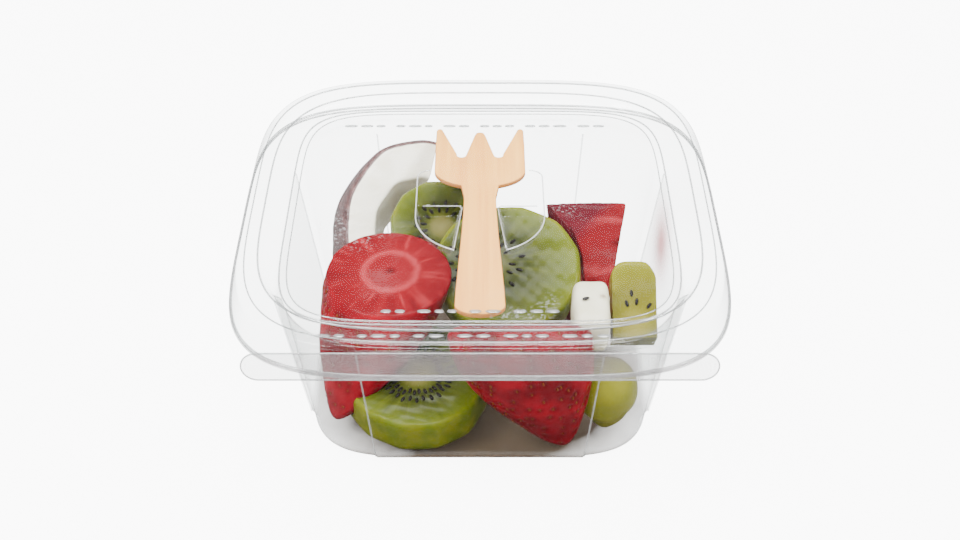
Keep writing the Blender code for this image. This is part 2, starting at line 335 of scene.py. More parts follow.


# A thin clear sheet. Most light passes; the share mirrored and the share that is milky both grow
# towards the edge of a curve. "juice" is a brown film, partly spilt juice and partly painted shade under
# the fruit, "blush" a red cast and "knurl" the tabs' ribs, each an attribute from 0 to 1, and drops stand in
# patches.
def clearLook(name, veil, mirror, rough, patches=0.0, tint=(0.42, 0.43, 0.43), passing=0.86, drops=0.0):
    look = Look("clear " + name)
    facing = look.add("LayerWeight", {}, {"Blend": 0.5}, "Facing")
    point = look.objectPoint
    wavy = look.noise(point, 38.0, 2.0)
    gloss = (mirror + (facing ** 5.0) * 0.6).held()
    fog = look.noise(point, 55.0, 4.0).step(0.5, 0.75) * patches
    juice = (look.value("juice") * (1.0 + look.noise(point, 70.0, 2.0) * 0.35)).held()
    blush = look.value("blush")
    dropPatches = look.noise(point, 24.0, 2.0).step(0.55, 0.64)
    beads = look.cells(point, 800.0).step(0.44, 0.26) * dropPatches * drops
    marks = juice + blush * 0.8 + look.value("knurl") * 0.22 + beads * 0.3
    milk = (veil + (facing ** 6.0) * 0.5 + fog + marks).held()
    normal = look.bump(wavy + beads * 0.6, 0.25, 0.0006)
    shine = look.principled(Base_Color=clearColours["mirror"], Roughness=rough + wavy * 0.06,
                            Specular_IOR_Level=1.0, Metallic=1.0, Normal=normal)
    # juice and painted shade: the milky body turns brown on the floor under the fruit
    juiceShadeTint = look.mix((juice * 3.0).held(), tint, clearColours["juice"])
    body = look.principled(Base_Color=look.mix((blush * 3.0).held(), juiceShadeTint, clearColours["blush"]),
                           Roughness=0.35, Normal=normal)
    through = look.add("BsdfTransparent", {}, {"Color": (passing, passing + 0.008, passing + 0.007)}, "BSDF")
    return look.done(look.blend(gloss, look.blend(milk, through, body), shine))


clear = {name: clearLook(name, **finish) for name, finish in clearFinishes.items()}

tubSizes = {"foot": 50.7, "top": 59.4, "height": 49.1, "floor": 0.15, "footRadius": 2.4, "powerFoot": 5.2,
            "powerTop": 3.7, "panelFoot": 30.5, "panelTop": 34.5, "flangeA": 72.2, "flangeB": 72.4,
            "flangePower": 4.4, "around": 560, "floorShares": (0.02, 0.3, 0.6, 0.8, 0.9, 0.96),
            "flangeSteps": ((0, -0.35), (0.03, 0), (0.35, 0), (0.42, -0.25), (0.5, -0.25), (0.57, 0),
                            (0.96, 0), (1, -0.25)),
            "juiceShadeTop": 4.0, "juiceShadeFade": 3.5, "juiceShadeY": -12, "juiceShadeReach": 45, "juiceShadeDepth": 1.75,
            "blushPlace": (12, 35), "blushSpread": (15, 9), "ribRadius": 0.24}


# Ring of a superellipse, |x/a|^p + |y/b|^p = 1, at the given angles.
def ring(a, b, power, angles):
    c, s = np.cos(angles), np.sin(angles)
    reach = (np.abs(c) ** power + np.abs(s) ** power) ** (-1 / power)
    return np.stack([a * c * reach, b * s * reach], -1)


# Angles that spread a near-square ring's points evenly along its sides.
def sideAngles(count):
    quarter = np.arctan(np.linspace(-1, 1, count // 4, endpoint=False))
    return np.concatenate([quarter + k * np.pi / 2 for k in range(4)])


# The tub's ring at height z: a superellipse whose power falls with the root of the height, and on each
# side a flat panel pushed out to the full half width.
def panelRing(half, flat, z, angles):
    share = math.sqrt(max(z, 0) / tubSizes["height"])
    power = tubSizes["powerFoot"] + (tubSizes["powerTop"] - tubSizes["powerFoot"]) * share
    points = ring(half, half, power, angles)
    push = eased((flat + 0.35 - np.abs(points[:, ::-1])) / 0.7)
    return points + (np.sign(points) * half - points) * push * (np.abs(points) > half * 0.7)


# Rows of (ring, height) from the floor's middle out to its rounded edge, up the wall and over the flange.
def tubRows():
    size, angles = tubSizes, sideAngles(tubSizes["around"])
    slope = (size["top"] - size["foot"]) / size["height"]
    lean = (size["panelTop"] - size["panelFoot"]) / size["height"]
    rows = []
    for share in size["floorShares"]:
        half = (size["foot"] - size["footRadius"]) * share
        rows.append((panelRing(half, size["panelFoot"] * share, 0, angles), size["floor"]))
    for turn in np.radians(np.linspace(0, 84, 9)):
        z = size["floor"] + size["footRadius"] * (1 - math.cos(turn))
        half = size["foot"] + slope * z - size["footRadius"] * (1 - math.sin(turn))
        rows.append((panelRing(half, size["panelFoot"] + lean * z, z, angles), z))
    for z in np.linspace(3.5, size["height"] - 1.2, 28):
        rows.append((panelRing(size["foot"] + slope * z, size["panelFoot"] + lean * z, z, angles), z))
    outer = ring(size["flangeA"], size["flangeB"], size["flangePower"], angles)
    inner = panelRing(size["top"] + 0.5, size["panelTop"], size["height"], angles)
    for share, rise in size["flangeSteps"]:
        rows.append((inner + (outer - inner) * share, size["height"] + rise))
    return rows


# The rows joined by quads and closed by a fan in the floor's middle. The film, partly juice and partly
# painted shade, fades with height and with distance from a point near the front; the cast is a bell curve on
# the right wall.
def makeTub():
    size, rows = tubSizes, tubRows()
    around = size["around"]
    points = rowPoints(rows)
    middle = len(points)
    points = np.concatenate([points, [[0, 0, size["floor"]]]])
    faces = gridFaces(len(rows), around) + [(middle, (c + 1) % around, c) for c in range(around)]
    x, y, z = points.T
    # juice and painted shade on the floor, strongest near the front fruit
    low = np.clip((size["juiceShadeTop"] - z) / size["juiceShadeFade"], 0, 1)
    near = np.clip(size["juiceShadeDepth"] - np.hypot(x, y - size["juiceShadeY"]) / size["juiceShadeReach"], 0, 1)
    (blushY, blushZ), (wide, tall) = size["blushPlace"], size["blushSpread"]
    blush = np.exp(-((y - blushY) / wide) ** 2 - ((z - blushZ) / tall) ** 2) * (x > 50)
    addPiece("tub_sheet", points, faces, clear["wall"], ["tub"],
             {"juice": low * near, "blush": blush})


# Fine upright ribs where each side's panel meets the corners: straight tubes from the foot to the flange.
def makeRibs():
    size, ribs = tubSizes, []
    share = np.linspace(0.05, 0.95, 24)[:, None]
    for turn in range(4):
        for side in (-1, 1):
            low = np.array([size["panelFoot"] * side, -size["foot"] - 0.1, 0.0])
            high = np.array([size["panelTop"] * side, -size["top"] - 0.1, size["height"]])
            path = low + (high - low) * share
            if turn % 2:
                path = path[:, [1, 0, 2]]
            ribs.append(steepTube(path * ([1, 1, 1] if turn < 2 else [-1, -1, 1]), size["ribRadius"]))
    points, faces, _ = joined(ribs)
    addPiece("tub_ribs", points, faces, clear["rib"], ["tub"])


# Each step list holds how far a ring grows in x and y, and how far it rises from its level.
lidSizes = {"rimA": 70.0, "rimB": 73.6, "rimPower": 4.2, "innerA": 64.2, "innerB": 64.5, "innerPower": 4.0,
            "panelA": 57.0, "panelB": 57.4, "panelPower": 6.0, "top": 59.7, "panel": 55.9, "foot": 49.9,
            "around": 520,
            "rimSteps": ((0.1, 0, -2.2), (-0.15, -0.15, -0.9), (-0.7, -0.7, -0.2), (-1.3, -1.3, -0.05),
                         (-1.9, -2.9, -0.05), (-2.15, -3.15, 0.25), (-2.6, -3.6, 0.25), (-2.9, -3.9, -0.05)),
            "innerSteps": ((0.9, 0.9, -0.05), (0.2, 0.2, -0.2), (-0.5, -0.5, -0.9), (-1.7, -1.5, -2.1)),
            "panelSteps": ((0.75, 0.75, 0.1), (0.4, 0.4, 0.35), (0, 0, 0.35), (-0.35, -0.35, 0),
                           (-0.9, -0.7, 0), (-1.2, -1.0, 0.25), (-1.6, -1.3, 0.25), (-1.95, -1.6, 0)),
            "panelGrid": 231, "panelInset": (1.9, 1.55)}


# Superellipses of (half width, half depth, power, height) from the skirt's foot over the rim, down the
# slope and over the two low ridges round the panel.
def lidStations():
    size, tub = lidSizes, tubSizes
    skirtA, skirtB, skirtPower = tub["flangeA"] - 0.3, tub["flangeB"] + 0.2, tub["flangePower"]

    def steps(kind, level):
        a, b, power = size[kind + "A"], size[kind + "B"], size[kind + "Power"]
        return [(a + outA, b + outB, power, level + rise) for outA, outB, rise in size[kind + "Steps"]]

    skirt = [(skirtA, skirtB, skirtPower, size["foot"]),
             (skirtA - 0.2, skirtB + 0.1, skirtPower, size["foot"] + 1.6),
             (size["rimA"] + 0.6, size["rimB"], 4.3, size["foot"] + 5.0)]
    slope = [(size["panelA"] + out, size["panelB"] + out, power, size["panel"] + rise)
             for out, power, rise in ((3.2, 5.2, 1.0), (1.4, 5.8, 0.35))]
    return (skirt + steps("rim", size["top"]) + steps("inner", size["top"]) + slope
            + steps("panel", size["panel"]))


# The stations' rings joined by quads; in front, where the strip is, the skirt is drawn up to the rim.
def makeLid():
    size, angles = lidSizes, sideAngles(lidSizes["around"])
    rows = [(ring(*station[:3], angles), station[3]) for station in lidStations()]
    points = rowPoints(rows)
    x, y, z = points.T
    front = np.clip((-y - 60) / 8, 0, 1) * np.clip((50 - np.abs(x)) / 5, 0, 1)
    skirt = np.repeat(np.arange(len(rows)) < 4, len(angles))
    points[:, 2] = np.where(skirt & (front > 0), z + (size["top"] - 1.2 - z) * front, z)
    addPiece("lid_rim", points, gridFaces(len(rows), len(angles)), clear["rim"], ["lid"])


# Thin tubes along the edges that catch the light: (half width, half depth, power, height, radius).
def makeBeads():
    size, tub, angles = lidSizes, tubSizes, sideAngles(lidSizes["around"])
    loops = ((tub["flangeA"] - 0.25, tub["flangeB"] + 0.2, tub["flangePower"], size["foot"], 0.42),
             (tub["flangeA"], tub["flangeB"], tub["flangePower"], tub["height"] - 0.2, 0.35),
             (size["rimA"] - 2.35, size["rimB"] - 3.35, size["rimPower"], size["top"] + 0.05, 0.22),
             (size["innerA"], size["innerB"], size["innerPower"], size["top"] - 0.3, 0.28),
             (size["panelA"] + 0.55, size["panelB"] + 0.55, size["panelPower"], size["panel"] + 0.25, 0.26),
             (size["panelA"] - 1.5, size["panelB"] - 1.2, size["panelPower"], size["panel"] + 0.15, 0.2))
    beads = [loopTube(rowPoints([(ring(*loop[:3], angles), loop[3])]), loop[4]) for loop in loops]
    points, faces, _ = joined(beads)
    addPiece("rim_beads", points, faces, clear["edge"], ["lid"])


wellSizes = {"outer": 19.3, "back": 21.5, "nestLine": 2.0, "bend": -4.0, "front": -23.5,
             "innerBack": 5.4, "innerFront": 7.6, "depth": 3.2, "draft": 1.5, "corner": 4.0,
             "lineRadius": 0.2, "innerRadius": 0.17}


# How deep the panel is pressed at a point: two D shapes, one on each side of the fork's handle. Each D is
# the space between a slanted inner side, a straight back and an outer side that ends in an ellipse.
def pressed(x, y):
    size = wellSizes
    ax = np.abs(x)
    drop = size["bend"] - size["front"]
    ellipse = np.sqrt((ax / size["outer"]) ** 2 + (np.minimum(y - size["bend"], 0) / drop) ** 2)
    edge = (1 - ellipse) * size["outer"]
    share = np.clip((y - size["front"]) / (size["nestLine"] - size["front"]), 0, 1)
    inner = ax - (size["innerFront"] + (size["innerBack"] - size["innerFront"]) * share)
    deep = np.minimum(np.minimum(edge, inner), size["nestLine"] - y)
    return eased(deep / size["draft"]) * size["depth"]


# A square grid, finest in the middle, its outer part drawn out to a superellipse, pressed down at the wells.
def makePanel():
    size = lidSizes
    t = np.linspace(-1, 1, size["panelGrid"])
    u = 0.42 * t + 0.58 * signedPower(t, 2.6)
    uu, vv = np.meshgrid(u, u, indexing="ij")
    far = np.maximum(np.abs(uu), np.abs(vv)) + 1e-9
    power = size["panelPower"]
    reach = far / (np.abs(uu) ** power + np.abs(vv) ** power) ** (1 / power)
    reach = 1 + (reach - 1) * np.clip(far, 0, 1) ** 6
    x = uu * reach * (size["panelA"] - size["panelInset"][0])
    y = vv * reach * (size["panelB"] - size["panelInset"][1])
    points = np.stack([x, y, size["panel"] - pressed(x, y)], -1).reshape(-1, 3)
    faces = gridFaces(len(u), len(u), wrap=False)
    addPiece("lid_panel", points, faces, clear["panel"], ["lid"])


# Fine raised lines: round both wells and the nest behind them, and across each well's back edge. The lines
# are real; their pale milky colour is painted highlight.
def makeWellLines():
    size, level = wellSizes, lidSizes["panel"] + 0.1
    outer, corner, nest = size["outer"], size["corner"], size["nestLine"]
    drop, lean = size["bend"] - size["front"], size["innerBack"] - size["innerFront"]
    last = math.acos(size["innerFront"] / outer)
    path = [(outer * math.cos(t), size["bend"] - drop * math.sin(t)) for t in np.linspace(last, 0, 24)]
    path += [(outer, y) for y in np.linspace(size["bend"] + 2, size["back"] - 5, 8)]
    path += [(outer - corner + corner * math.cos(t), size["back"] - corner + corner * math.sin(t))
             for t in np.linspace(0, math.pi / 2, 9)]
    inside = [(x, nest) for x in np.linspace(outer - 2, size["innerBack"] + 1, 10)]
    inside += [(size["innerFront"] + lean * t, size["front"] + 3.2 + (nest - size["front"] - 4.2) * t)
               for t in np.linspace(1, 0, 12)]
    lines = []
    for side in (-1, 1):
        lines.append(levelTube(np.array(path) * [side, 1], size["lineRadius"], level))
        lines.append(levelTube(np.array(inside) * [side, 1], size["innerRadius"], level - 0.5))
    points, faces, _ = joined(lines)
    # painted highlight: the lines use the pale "line" finish
    addPiece("well_lines", points, faces, clear["line"], ["lid"])


# Each row of dashes: its y, its height, where it starts and ends in x, and a dash's depth.
dashSizes = {"rows": ((48.6, lidSizes["panel"] + 0.02, -44, 42, 1.7),
                      (-51.5, lidSizes["panel"] + 0.02, -27.5, 27.5, 1.7),
                      (-67.4, lidSizes["top"] - 0.02, -44, 36, 1.6)),
             "inGroup": (2, 4), "wide": (2.6, 4.6), "gap": 0.9, "groupGap": 2.4, "rise": 0.22}


# A low rounded bar: level rings of a squared-off ellipse that shrink as they rise.
def dash(x, y, z, wide, tall):
    rise, around = dashSizes["rise"], 10
    turns, lift = 2 * np.pi * np.arange(around) / around, np.radians([8, 40, 70])
    shrink = np.cos(lift)[:, None]
    grid = np.stack([x + wide / 2 + wide / 2 * signedPower(np.cos(turns), 0.6)[None, :] * shrink,
                     y + tall / 2 * np.sin(turns)[None, :] * shrink,
                     z + rise * np.sin(lift)[:, None] * np.ones(around)], -1).reshape(-1, 3)
    points = np.concatenate([grid, [[x + wide / 2, y, z], [x + wide / 2, y, z + rise]]])
    return points, outward(points, closedFaces(len(lift), around)), {}


# Three rows of dashes in uneven groups, where the lid has raised marks.
def makeDashes():
    size, bars = dashSizes, []
    for y, z, start, end, tall in size["rows"]:
        x = start
        while x < end:
            for _ in range(rng.integers(*size["inGroup"])):
                wide = rng.uniform(*size["wide"])
                if x + wide < end:
                    bars.append(dash(x, y, z, wide, tall))
                x += wide + size["gap"]
            x += size["groupGap"]
    points, faces, _ = joined(bars)
    addPiece("lid_dashes", points, faces, clear["edge"], ["lid"])


stripSizes = {"tab": 63.8, "root": 47.0, "low": 49.35, "high": 58.7, "back": 73.15, "thick": 0.6,
              "creaseShare": 0.3, "knurl": 1.15, "columns": 420, "around": 44, "edgeInset": 0.2,
              "edgeRadius": 0.22}


# A flat band with round ends: a thin squared-off section carried along x, as tall at each x as a row
# with half-circle ends is. The tabs have slanted ribs and the middle a shallow crease.
def makeStrip():
    size = stripSizes
    middle, radius = (size["low"] + size["high"]) / 2, (size["high"] - size["low"]) / 2
    even = np.linspace(-1, 1, size["columns"])
    x = (np.sin(even * np.pi / 2) * 0.25 + even * 0.75) * size["tab"]
    over = np.maximum(np.abs(x) - (size["tab"] - radius), 0)
    half = np.sqrt(np.maximum(radius ** 2 - over ** 2, 0.02))[:, None]
    turns = 2 * np.pi * np.arange(size["around"]) / size["around"]
    z = middle + half * signedPower(np.sin(turns), 0.55)
    side = signedPower(np.cos(turns), 0.35)[None, :] * np.ones((size["columns"], 1))
    x = np.repeat(x[:, None], size["around"], 1)
    centreY = -size["back"] - size["thick"] / 2
    tab = np.clip((np.abs(x) - size["root"]) / 2.0, 0, 1) * np.clip((half - np.abs(z - middle)) / 0.8, 0, 1)
    ribs = 0.5 + 0.5 * np.sin((np.abs(x) + z - middle) * 2 * np.pi / size["knurl"])
    creaseZ = size["low"] + size["creaseShare"] * 2 * radius
    crease = np.exp(-((z - creaseZ) / 0.35) ** 2) * (np.abs(x) < size["root"])
    front = side < 0
    y = centreY + side * size["thick"] / 2 + np.where(front, 0.16 * ribs * tab + 0.15 * crease, 0)
    points = np.stack([x, y, z], -1).reshape(-1, 3)
    points = np.concatenate([points, [[x[0, 0], centreY, middle], [x[-1, 0], centreY, middle]]])
    faces = outward(points, closedFaces(size["columns"], size["around"]))
    knurl = np.append((ribs ** 2 * tab * front).ravel(), [0, 0])
    addPiece("tear_band", points, faces, clear["band"], ["tear_strip"], {"knurl": knurl})


# A thin tube round the band's outline: two straights and two half circles in an upright plane.
def makeStripEdge():
    size = stripSizes
    middle, radius = (size["low"] + size["high"]) / 2, (size["high"] - size["low"]) / 2
    straight, reach = size["tab"] - radius, radius - size["edgeInset"]
    run = np.linspace(-1, 1, 120, endpoint=False) * straight
    turns = np.pi * np.arange(40) / 40
    lowRun = np.column_stack([run, np.full(len(run), -reach)])
    rightEnd = reach * np.stack([np.sin(turns), -np.cos(turns)], -1) + [straight, 0]
    flat = np.concatenate([lowRun, rightEnd, -lowRun, -rightEnd])
    y = np.full(len(flat), 0.25 - size["back"] - size["thick"])
    points, faces, _ = loopTube(np.column_stack([flat[:, 0], y, middle + flat[:, 1]]), size["edgeRadius"],
                                np.array([0.0, 1.0, 0.0]))
    addPiece("band_edge", points, faces, clear["edge"], ["tear_strip"])


for makePart in (makeTub, makeRibs, makeLid, makeBeads, makePanel, makeWellLines, makeDashes, makeStrip,
                 makeStripEdge):
    makePart()
print("plastic done")


birchColours = {"bands": ((0.3, (0.84, 0.42, 0.08)), (0.5, (0.77, 0.36, 0.06)), (0.72, (0.68, 0.28, 0.04))),
                "streak": (0.62, 0.25, 0.045), "fleck": (0.50, 0.19, 0.03), "edge": (0.40, 0.12, 0.015)}


# Pale birch. Noise stretched along the handle makes bands and fine grain, stretched cells make short
# flecks, and "edge", 1 round the cut side, mixes in a browner colour.
def birchLook():
    look, colours = Look("birch"), birchColours
    point = look.objectPoint
    grain = look.noise(look.stretch(point, (900.0, 26.0, 300.0)), 1.0, 4.0, 0.6)
    bands = look.noise(look.stretch(point, (170.0, 7.0, 60.0)), 1.0, 3.0, 0.5)
    flecks = look.cells(look.stretch(point, (1500.0, 260.0, 900.0)), 1.0).step(0.22, 0.08)
    base = look.ramp(bands, colours["bands"])
    streaks = look.mix(grain.step(0.35, 0.7) * 0.6, base, colours["streak"])
    dotted = look.mix(flecks * 0.3, streaks, colours["fleck"])
    colour = look.mix(look.value("edge") * 0.75, dotted, colours["edge"])
    return look.done(look.principled(Base_Color=colour, Roughness=0.52 + grain * 0.16,
                                     Normal=look.bump(grain, 0.35, 0.0003)))


forkSizes = {"thick": 1.5, "level": 54.15, "ease": 0.28, "halfEase": 0.08, "sharp": 50,
             "endWide": 7.1, "endY": -51.4, "endDeep": 4.4,
             "handle": ((6.9, -40.0), (6.3, -28.0), (5.6, -14.0), (5.05, 0.0), (4.9, 8.0)),
             "neck": 4.9, "shoulder": 14.2, "shoulderY": 23.5, "shoulderDeep": 9.5,
             "outerTine": ((14.2, 38.0), (14.05, 47.6), (13.6, 48.5), (12.9, 48.7), (12.2, 48.2),
                           (7.4, 33.4)),
             "slot": (5.9, 32.6), "slotRadius": 1.45,
             "middleTine": ((1.75, 44.6), (1.2, 46.1), (0.55, 46.5)), "tip": (0, 46.55)}


# Half the outline from the handle's round end to the middle tine's tip, then its mirror image. The end
# and the shoulder are parts of ellipses, the slot's root is an arc, and points join them.
def forkOutline():
    size = forkSizes
    half = [(size["endWide"] * math.sin(t), size["endY"] + size["endDeep"] * (1 - math.cos(t)))
            for t in np.linspace(0, math.pi / 2, 14)]
    half += size["handle"]
    last = math.acos(size["neck"] / size["shoulder"])
    half += [(size["shoulder"] * math.cos(t), size["shoulderY"] - size["shoulderDeep"] * math.sin(t))
             for t in np.linspace(last, 0, 18)[1:]]
    half += size["outerTine"]
    (slotX, slotY), radius = size["slot"], size["slotRadius"]
    half += [(slotX + radius * math.cos(t), slotY - radius * math.sin(t)) for t in np.linspace(0.2, 2.8, 9)]
    half = np.array(half + list(size["middleTine"]))
    return np.concatenate([half, [size["tip"]], half[::-1] * [-1, 1]])[:-1]


# The outline stands at six heights, drawn in a little at the top and bottom, and closed by flat faces.
# Each level holds its height, how far it is drawn in and its share of the edge's colour.
def makeFork():
    size, outline = forkSizes, forkOutline()
    count = len(outline)
    ahead = np.roll(outline, -1, 0) - np.roll(outline, 1, 0)
    inward = unit(np.stack([-ahead[:, 1], ahead[:, 0]], -1))
    ease, half = size["ease"], size["halfEase"]
    low, high = size["level"] - size["thick"] / 2, size["level"] + size["thick"] / 2
    levels = ((low, ease, 0.0), (low + half, half, 0.6), (low + ease, 0, 1.0),
              (high - ease, 0, 1.0), (high - half, half, 0.6), (high, ease, 0.0))
    points = rowPoints([(outline + inward * inset, z) for z, inset, _ in levels])
    edge = np.repeat([share for _, _, share in levels], count)
    faces = gridFaces(len(levels), count)
    faces.append(tuple(reversed(range(count))))
    faces.append(tuple(range(5 * count, 6 * count)))
    piece = addPiece("birch_fork", points, outward(points, faces), birchLook(), ["fork"],
                     {"edge": edge})
    piece.data.set_sharp_from_angle(angle=math.radians(size["sharp"]))


makeFork()
print("wood done")


# Distance past a plane through a point, along its normal.
def past(points, plane):
    normal = np.array(plane[1], float)
    return (points - np.array(plane[0], float)) @ (normal / np.linalg.norm(normal))


# Small closed seeds: an ellipsoid of a few rings on each place. Size holds half its width, length and
# thickness; the length runs along an axis made square to the surface's normal.
def seedShapes(places, normals, axes, size):
    ball, faces = ballWays(3, 7), closedFaces(3, 7)
    long = axes - normals * np.einsum("ij,ij->i", axes, normals)[:, None]
    long /= np.linalg.norm(long, axis=1)[:, None] + 1e-9
    wide = np.cross(normals, long)
    points = (places[:, None] + ball[None, :, 0, None] * wide[:, None] * size[0]
              + ball[None, :, 2, None] * long[:, None] * size[1]
              + ball[None, :, 1, None] * normals[:, None] * size[2]).reshape(-1, 3)
    every = [tuple(i + k * len(ball) for i in face) for k in range(len(places)) for face in faces]
    return points, outward(points, every)


# "dusk" is the colour of painted shade on a cut, and "pit" the painted shade in the seed dimples.
berryColours = {"skin": ((0.11, 0.0, 0.003), (0.24, 0.0, 0.007)), "pit": (0.05, 0.0, 0.001),
                "cut": ((0.0, (0.05, 0.0, 0.001)), (0.05, (0.09, 0.0, 0.002)), (0.10, (0.15, 0.003, 0.007)),
                        (0.32, (0.14, 0.002, 0.005)), (0.43, (0.25, 0.022, 0.027)),
                        (0.50, (0.14, 0.001, 0.004)), (0.64, (0.13, 0.0, 0.003)), (0.97, (0.12, 0.0, 0.003))),
                "grain": (0.30, 0.03, 0.03), "paleRay": (0.26, 0.018, 0.022), "darkRay": (0.07, 0.0, 0.002),
                "dusk": (0.05, 0.001, 0.006), "seed": ((0.10, 0.015, 0.002), (0.18, 0.05, 0.005))}


# The strawberry's flesh and skin. "core" is 0 on the berry's axis and 1 at its skin, "flesh" is 1 on a
# cut, "pit" is how deep a point lies in a seed's dimple, where the skin is darkened as painted shade,
# "seed" is 1 on the seeds, "dusk" is 1 on a cut darkened as painted shade, and "rays" is a point whose
# noise runs out from the axis in streaks.
def strawberryLook():
    look, colours = Look("strawberry"), berryColours
    point = look.objectPoint
    core, flesh, pit, seed, dusk = (look.value(key) for key in ("core", "flesh", "pit", "seed", "dusk"))
    fine = look.noise(point, 900.0, 3.0)
    broad = look.noise(point, 90.0, 3.0)
    rays = look.noise(look.vector("rays"), 1.0, 3.0)
    skin = look.mix(broad.step(0.35, 0.7), *colours["skin"])
    # painted shade: the skin is darker deep in each seed's dimple
    skin = look.mix(pit * 0.6, skin, colours["pit"])
    inside = look.ramp(core + (rays - 0.5) * 0.14, colours["cut"])
    inside = look.mix(fine.step(0.5, 0.8) * 0.06, inside, colours["grain"])
    outer = core.step(0.42, 0.6)
    inside = look.mix(rays.step(0.50, 0.70) * outer * 0.75, inside, colours["paleRay"])
    inside = look.mix(rays.step(0.48, 0.32) * outer * 0.6, inside, colours["darkRay"])
    colour = look.mix(flesh, skin, inside)
    # painted shade: the cut that lies in shade is mixed towards a dark maroon
    colour = look.mix(dusk * 0.85, colour, colours["dusk"])
    colour = look.mix(seed, colour, look.mix(broad, *colours["seed"]))
    height = fine * (1 - flesh) * 0.3 + rays * flesh * 0.6
    shader = look.principled(Base_Color=colour, Roughness=0.30 + fine * 0.12 + flesh * 0.10,
                             Subsurface_Weight=0.15, Subsurface_Radius=(1.0, 0.25, 0.18),
                             Subsurface_Scale=0.003, Coat_Weight=0.05, Specular_IOR_Level=0.04,
                             Coat_Roughness=0.06, Normal=look.bump(height, 0.3, 0.0004))
    return look.done(shader)


# Half-width share of a strawberry at a height t from its tip (-1) to its crown (1).
def berrySwell(t):
    return (0.86 + 0.30 * t - 0.16 * t * t) / 0.92 * np.sqrt(np.maximum(1 - t * t, 0))


berryDetail = {"cutEdge": 0.7, "skinEdge": 0.9, "fleshFade": 0.8, "paintedShadeFade": 1.6, "rows": 150, "cols": 230,
               "reach": 60, "seedGap": 4.1, "turnNoise": 0.13, "heightNoise": 0.025,
               "seedSize": (0.34, 0.58, 0.3), "fromCut": 1.2, "dimple": 0.42, "dimpleWidth": 1.05,
               "waves": ((0.35, 16, 3), (0.18, 6, 5)), "rays": 7, "rayDepth": 1.2}


# Places for seeds in the berry's own axes: level rings one gap apart, an even count round each ring, every
# second ring set half a gap round, and all of them moved a little at random.
def seedPlaces(radius, squash, long):
    size, levels = berryDetail, []
    gap = size["seedGap"]
    for k, t in enumerate(np.arange(-0.93, 0.9, gap * 0.8 / (long / 2))):
        count = max(int(2 * np.pi * radius * (0.5 + squash / 2) * berrySwell(t) / gap), 3)
        turns = (2 * np.pi * (np.arange(count) + 0.5 * (k % 2)) / count
                 + size["turnNoise"] * rng.normal(size=count) + 0.4 * k)
        heights = t + size["heightNoise"] * rng.normal(size=count)
        wide = radius * berrySwell(heights)
        levels.append(np.stack([wide * np.cos(turns), wide * squash * np.sin(turns), heights * long / 2], -1))
    return np.concatenate(levels)


# A strawberry: the turned swell profile between tip and crown, squashed in one direction, cut by planes
# and by a bite, moved in round each seed by a bell curve and over its skin by slow waves. The surface is
# looked for from the centre; past the first shaded plane more than the second, a cut is darkened as painted
# shade.
def makeBerry(name, tip, crown, radius, squash, spin, centre, cuts, bite=None, shaded=None):
    size, tip, crown = berryDetail, np.array(tip, float), np.array(crown, float)
    long = np.linalg.norm(crown - tip)
    turn, middle = turnTo(crown - tip, spin), (tip + crown) / 2

    def body(p):
        q = (p - middle) @ turn
        t = np.clip(q[:, 2] / (long / 2), -1, 1)
        over = np.maximum(np.abs(q[:, 2]) - long / 2, 0)
        return np.hypot(q[:, 0], q[:, 1] / squash) - radius * berrySwell(t) + over

    def sliced(p):
        worst = np.full(len(p), -50.0)
        for plane in cuts:
            worst = roundMax(worst, past(p, plane), size["cutEdge"])
        if bite is not None:
            worst = roundMax(worst, -bite(p), size["cutEdge"])
        return worst

    def rule(p):
        return roundMax(body(p), sliced(p), size["skinEdge"])

    points, way, faces = rayShape(np.array(centre, float), crown - tip, rule, size["rows"], size["cols"],
                                  size["reach"])
    flesh = np.clip(0.5 + (sliced(points) - body(points)) / size["fleshFade"], 0, 1)
    seeds = seedPlaces(radius, squash, long) @ turn.T + middle
    seeds = seeds[sliced(seeds) < -size["fromCut"]]
    apart = (points ** 2).sum(1)[:, None] + (seeds ** 2).sum(1)[None, :] - 2 * points @ seeds.T
    near = np.sqrt(np.maximum(apart.min(1), 0))
    # the dimple depth moves the skin in and also darkens it as painted shade
    pit = np.exp(-(near / size["dimpleWidth"]) ** 2) * (1 - flesh)
    slow, quick = (depth * wobble(points, length, seed) for depth, length, seed in size["waves"])
    points = points - way * (size["dimple"] * pit + slow * (1 - flesh) + quick)[:, None]
    outwardAt = unit((seeds - middle) - np.outer((seeds - middle) @ turn[:, 2], turn[:, 2]) * 0.6)
    seedPoints, seedFaces = seedShapes(seeds - outwardAt * size["dimple"], outwardAt,
                                       np.tile(turn[:, 2], (len(seeds), 1)), size["seedSize"])
    q = (points - middle) @ turn
    t = np.clip(q[:, 2] / (long / 2), -0.995, 0.995)
    core = np.hypot(q[:, 0], q[:, 1] / squash) / (radius * berrySwell(t) + 1e-6)
    angle = np.arctan2(q[:, 1] / squash, q[:, 0])
    rays = np.stack([np.cos(angle) * size["rays"], np.sin(angle) * size["rays"],
                     core * size["rayDepth"]], -1)
    none, blank = np.zeros(len(points)), np.zeros(len(seedPoints))
    dusk = none
    # painted shade on the back berry's shaded cut
    if shaded:
        ahead = past(points, shaded[0]) - past(points, shaded[1])
        dusk = np.clip(0.5 + ahead / size["paintedShadeFade"], 0, 1) * flesh
    skin = (points, faces, {"core": core, "flesh": flesh, "pit": pit, "seed": none, "dusk": dusk,
                            "rays": rays})
    dots = (seedPoints, seedFaces, {"core": blank + 1, "flesh": blank, "pit": blank, "seed": blank + 1,
                                    "dusk": blank, "rays": np.zeros((len(blank), 3))})
    points, faces, values = joined([skin, dots])
    addPiece("berry_" + name, points, faces, strawberry, ["strawberry_" + name], values)
    return rule


